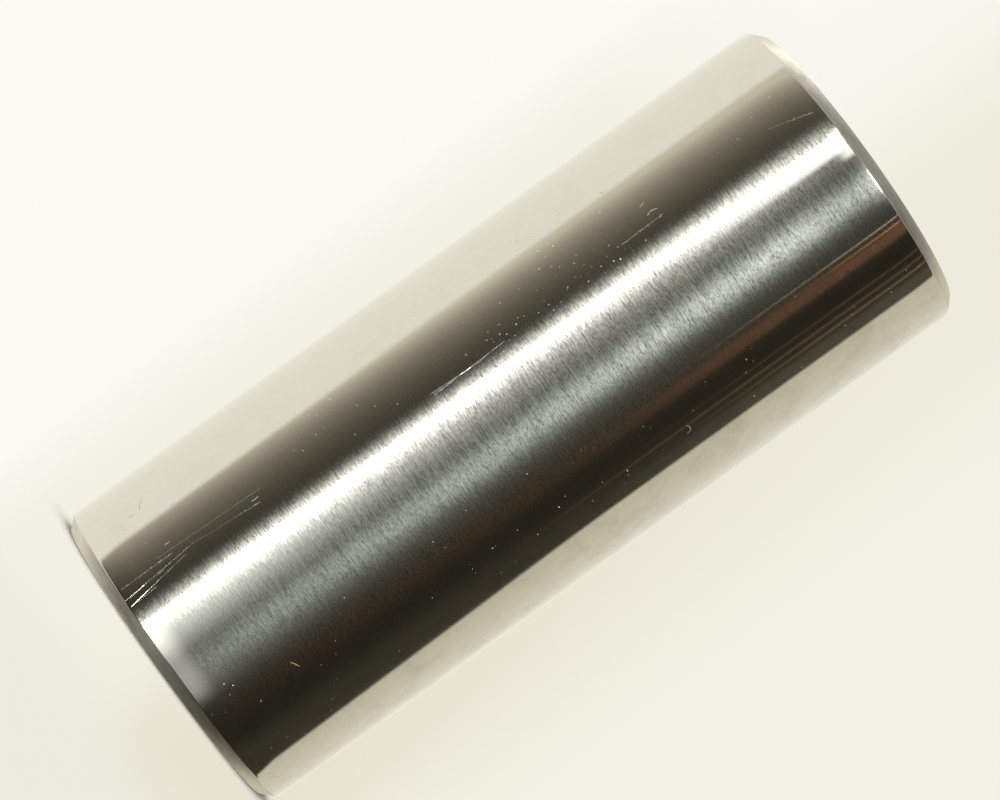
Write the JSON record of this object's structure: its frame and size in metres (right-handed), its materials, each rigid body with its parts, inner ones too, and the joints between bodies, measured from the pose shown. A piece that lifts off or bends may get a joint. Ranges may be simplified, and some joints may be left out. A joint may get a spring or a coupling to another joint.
{
  "type": "gudgeon pin",
  "caption": "Hollow cylindrical piston pin with a ground journal, chamfered ends and a plain through bore; links a piston to its connecting rod.",
  "frame": {"origin": "centre of the lower end face, on the pin's axis", "axes": "+Z along the pin's axis from the lower end face to the upper one; X and Y are any two directions across the round pin"},
  "size_m": [0.035, 0.035, 0.085],
  "materials": {
    "ground_steel": "ground and polished around the journal, turned on the chamfers and end faces"
  },
  "bodies": {
    "root": {"gudgeon_pin": "ground_steel"}
  },
  "joints": []
}
